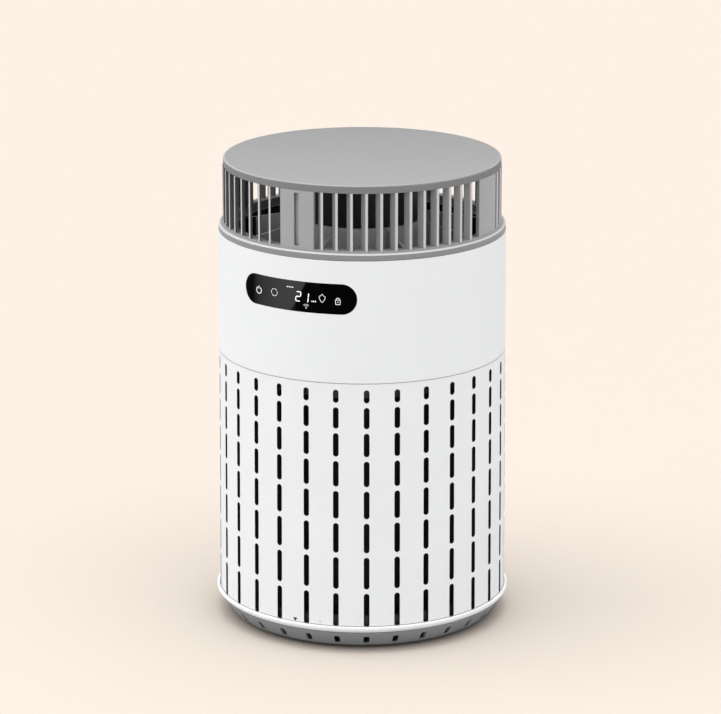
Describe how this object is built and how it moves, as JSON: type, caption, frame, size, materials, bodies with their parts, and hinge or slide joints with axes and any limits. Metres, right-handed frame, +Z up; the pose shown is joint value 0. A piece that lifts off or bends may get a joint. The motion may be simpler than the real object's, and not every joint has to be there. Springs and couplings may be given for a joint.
{
  "type": "air purifier",
  "caption": "Cylindrical tower air purifier with a slotted intake sleeve, side outlet grille, curved touch display and twist-off base.",
  "frame": {"origin": "on the floor, under the tower's axis", "axes": "+Z up, the display faces -Y, +X to the right seen from the front"},
  "size_m": [0.2269, 0.2269, 0.36],
  "materials": {
    "white_shell": "fine satin moulding",
    "grey_shell": "fine satin moulding",
    "lid_grey": "smooth matt",
    "base_grey": "fine matt texture",
    "black_window": "high gloss",
    "dark_plastic": "matt",
    "rubber": "matt rubber",
    "filter_mesh": "woven nylon mesh",
    "filter_paper": "pleated fibre",
    "carbon": "carbon granules in a net",
    "foam": "closed-cell foam",
    "steel": "zinc plated",
    "magnet": "dark ferrite",
    "copper": "enamelled copper wire",
    "board_green": "solder mask",
    "component_black": "moulded",
    "lamp_white": "translucent white",
    "lead_jacket": "soft jacket",
    "fan_plastic": "glass-filled"
  },
  "bodies": {
    "housing": {"perforated_sleeve": "white_shell", "bayonet_ring": "dark_plastic", "prefilter_mesh": "filter_mesh", "filter_media": "filter_paper", "carbon_core": "carbon", "filter_bottom_cap": "dark_plastic", "filter_top_cap": "dark_plastic", "filter_gasket": "foam", "pull_tab": "filter_mesh", "fan_deck": "dark_plastic", "inlet_guard": "dark_plastic", "deck_screws": "steel", "lower_bearing": "steel", "upper_bearing": "steel", "stator_core": "steel", "stator_windings": "copper", "motor_mount": "dark_plastic", "motor_grommets": "rubber", "motor_screws": "steel", "fan_duct": "dark_plastic", "diffuser": "grey_shell", "core_column": "dark_plastic", "outlet_grille": "grey_shell", "grille_screws": "steel", "light_bar_lens": "lamp_white", "light_bar_board": "board_green", "top_lid": "lid_grey", "lid_screws": "steel", "upper_housing": "white_shell", "display_window": "black_window", "display_frame": "dark_plastic", "display_board": "board_green", "digit_module": "component_black", "display_lamps": "lamp_white", "main_board": "board_green", "board_posts": "dark_plastic", "board_screws": "steel", "power_transformer": "component_black", "mains_capacitor": "component_black", "wireless_module": "steel", "dust_sensor": "component_black", "power_inlet": "component_black", "power_lead": "lead_jacket", "display_lead": "lead_jacket", "motor_lead": "lead_jacket"},
    "base": {"base_cover": "base_grey", "base_rim": "white_shell", "foot_1": "rubber", "foot_2": "rubber", "foot_3": "rubber", "foot_4": "rubber"},
    "fan": {"impeller": "fan_plastic", "rotor_can": "steel", "rotor_magnets": "magnet", "motor_shaft": "steel"}
  },
  "joints": [
    {"name": "fan_spin", "type": "hinge", "parent": "housing", "child": "fan", "pos_m": [0, 0, 0.25], "axis": [0, 0, 1], "continuous": true},
    {"name": "base_twist", "type": "hinge", "parent": "housing", "child": "base", "pos_m": [0, 0, 0.02], "axis": [0, 0, -1], "range_deg": [0, 10.6]}
  ]
}
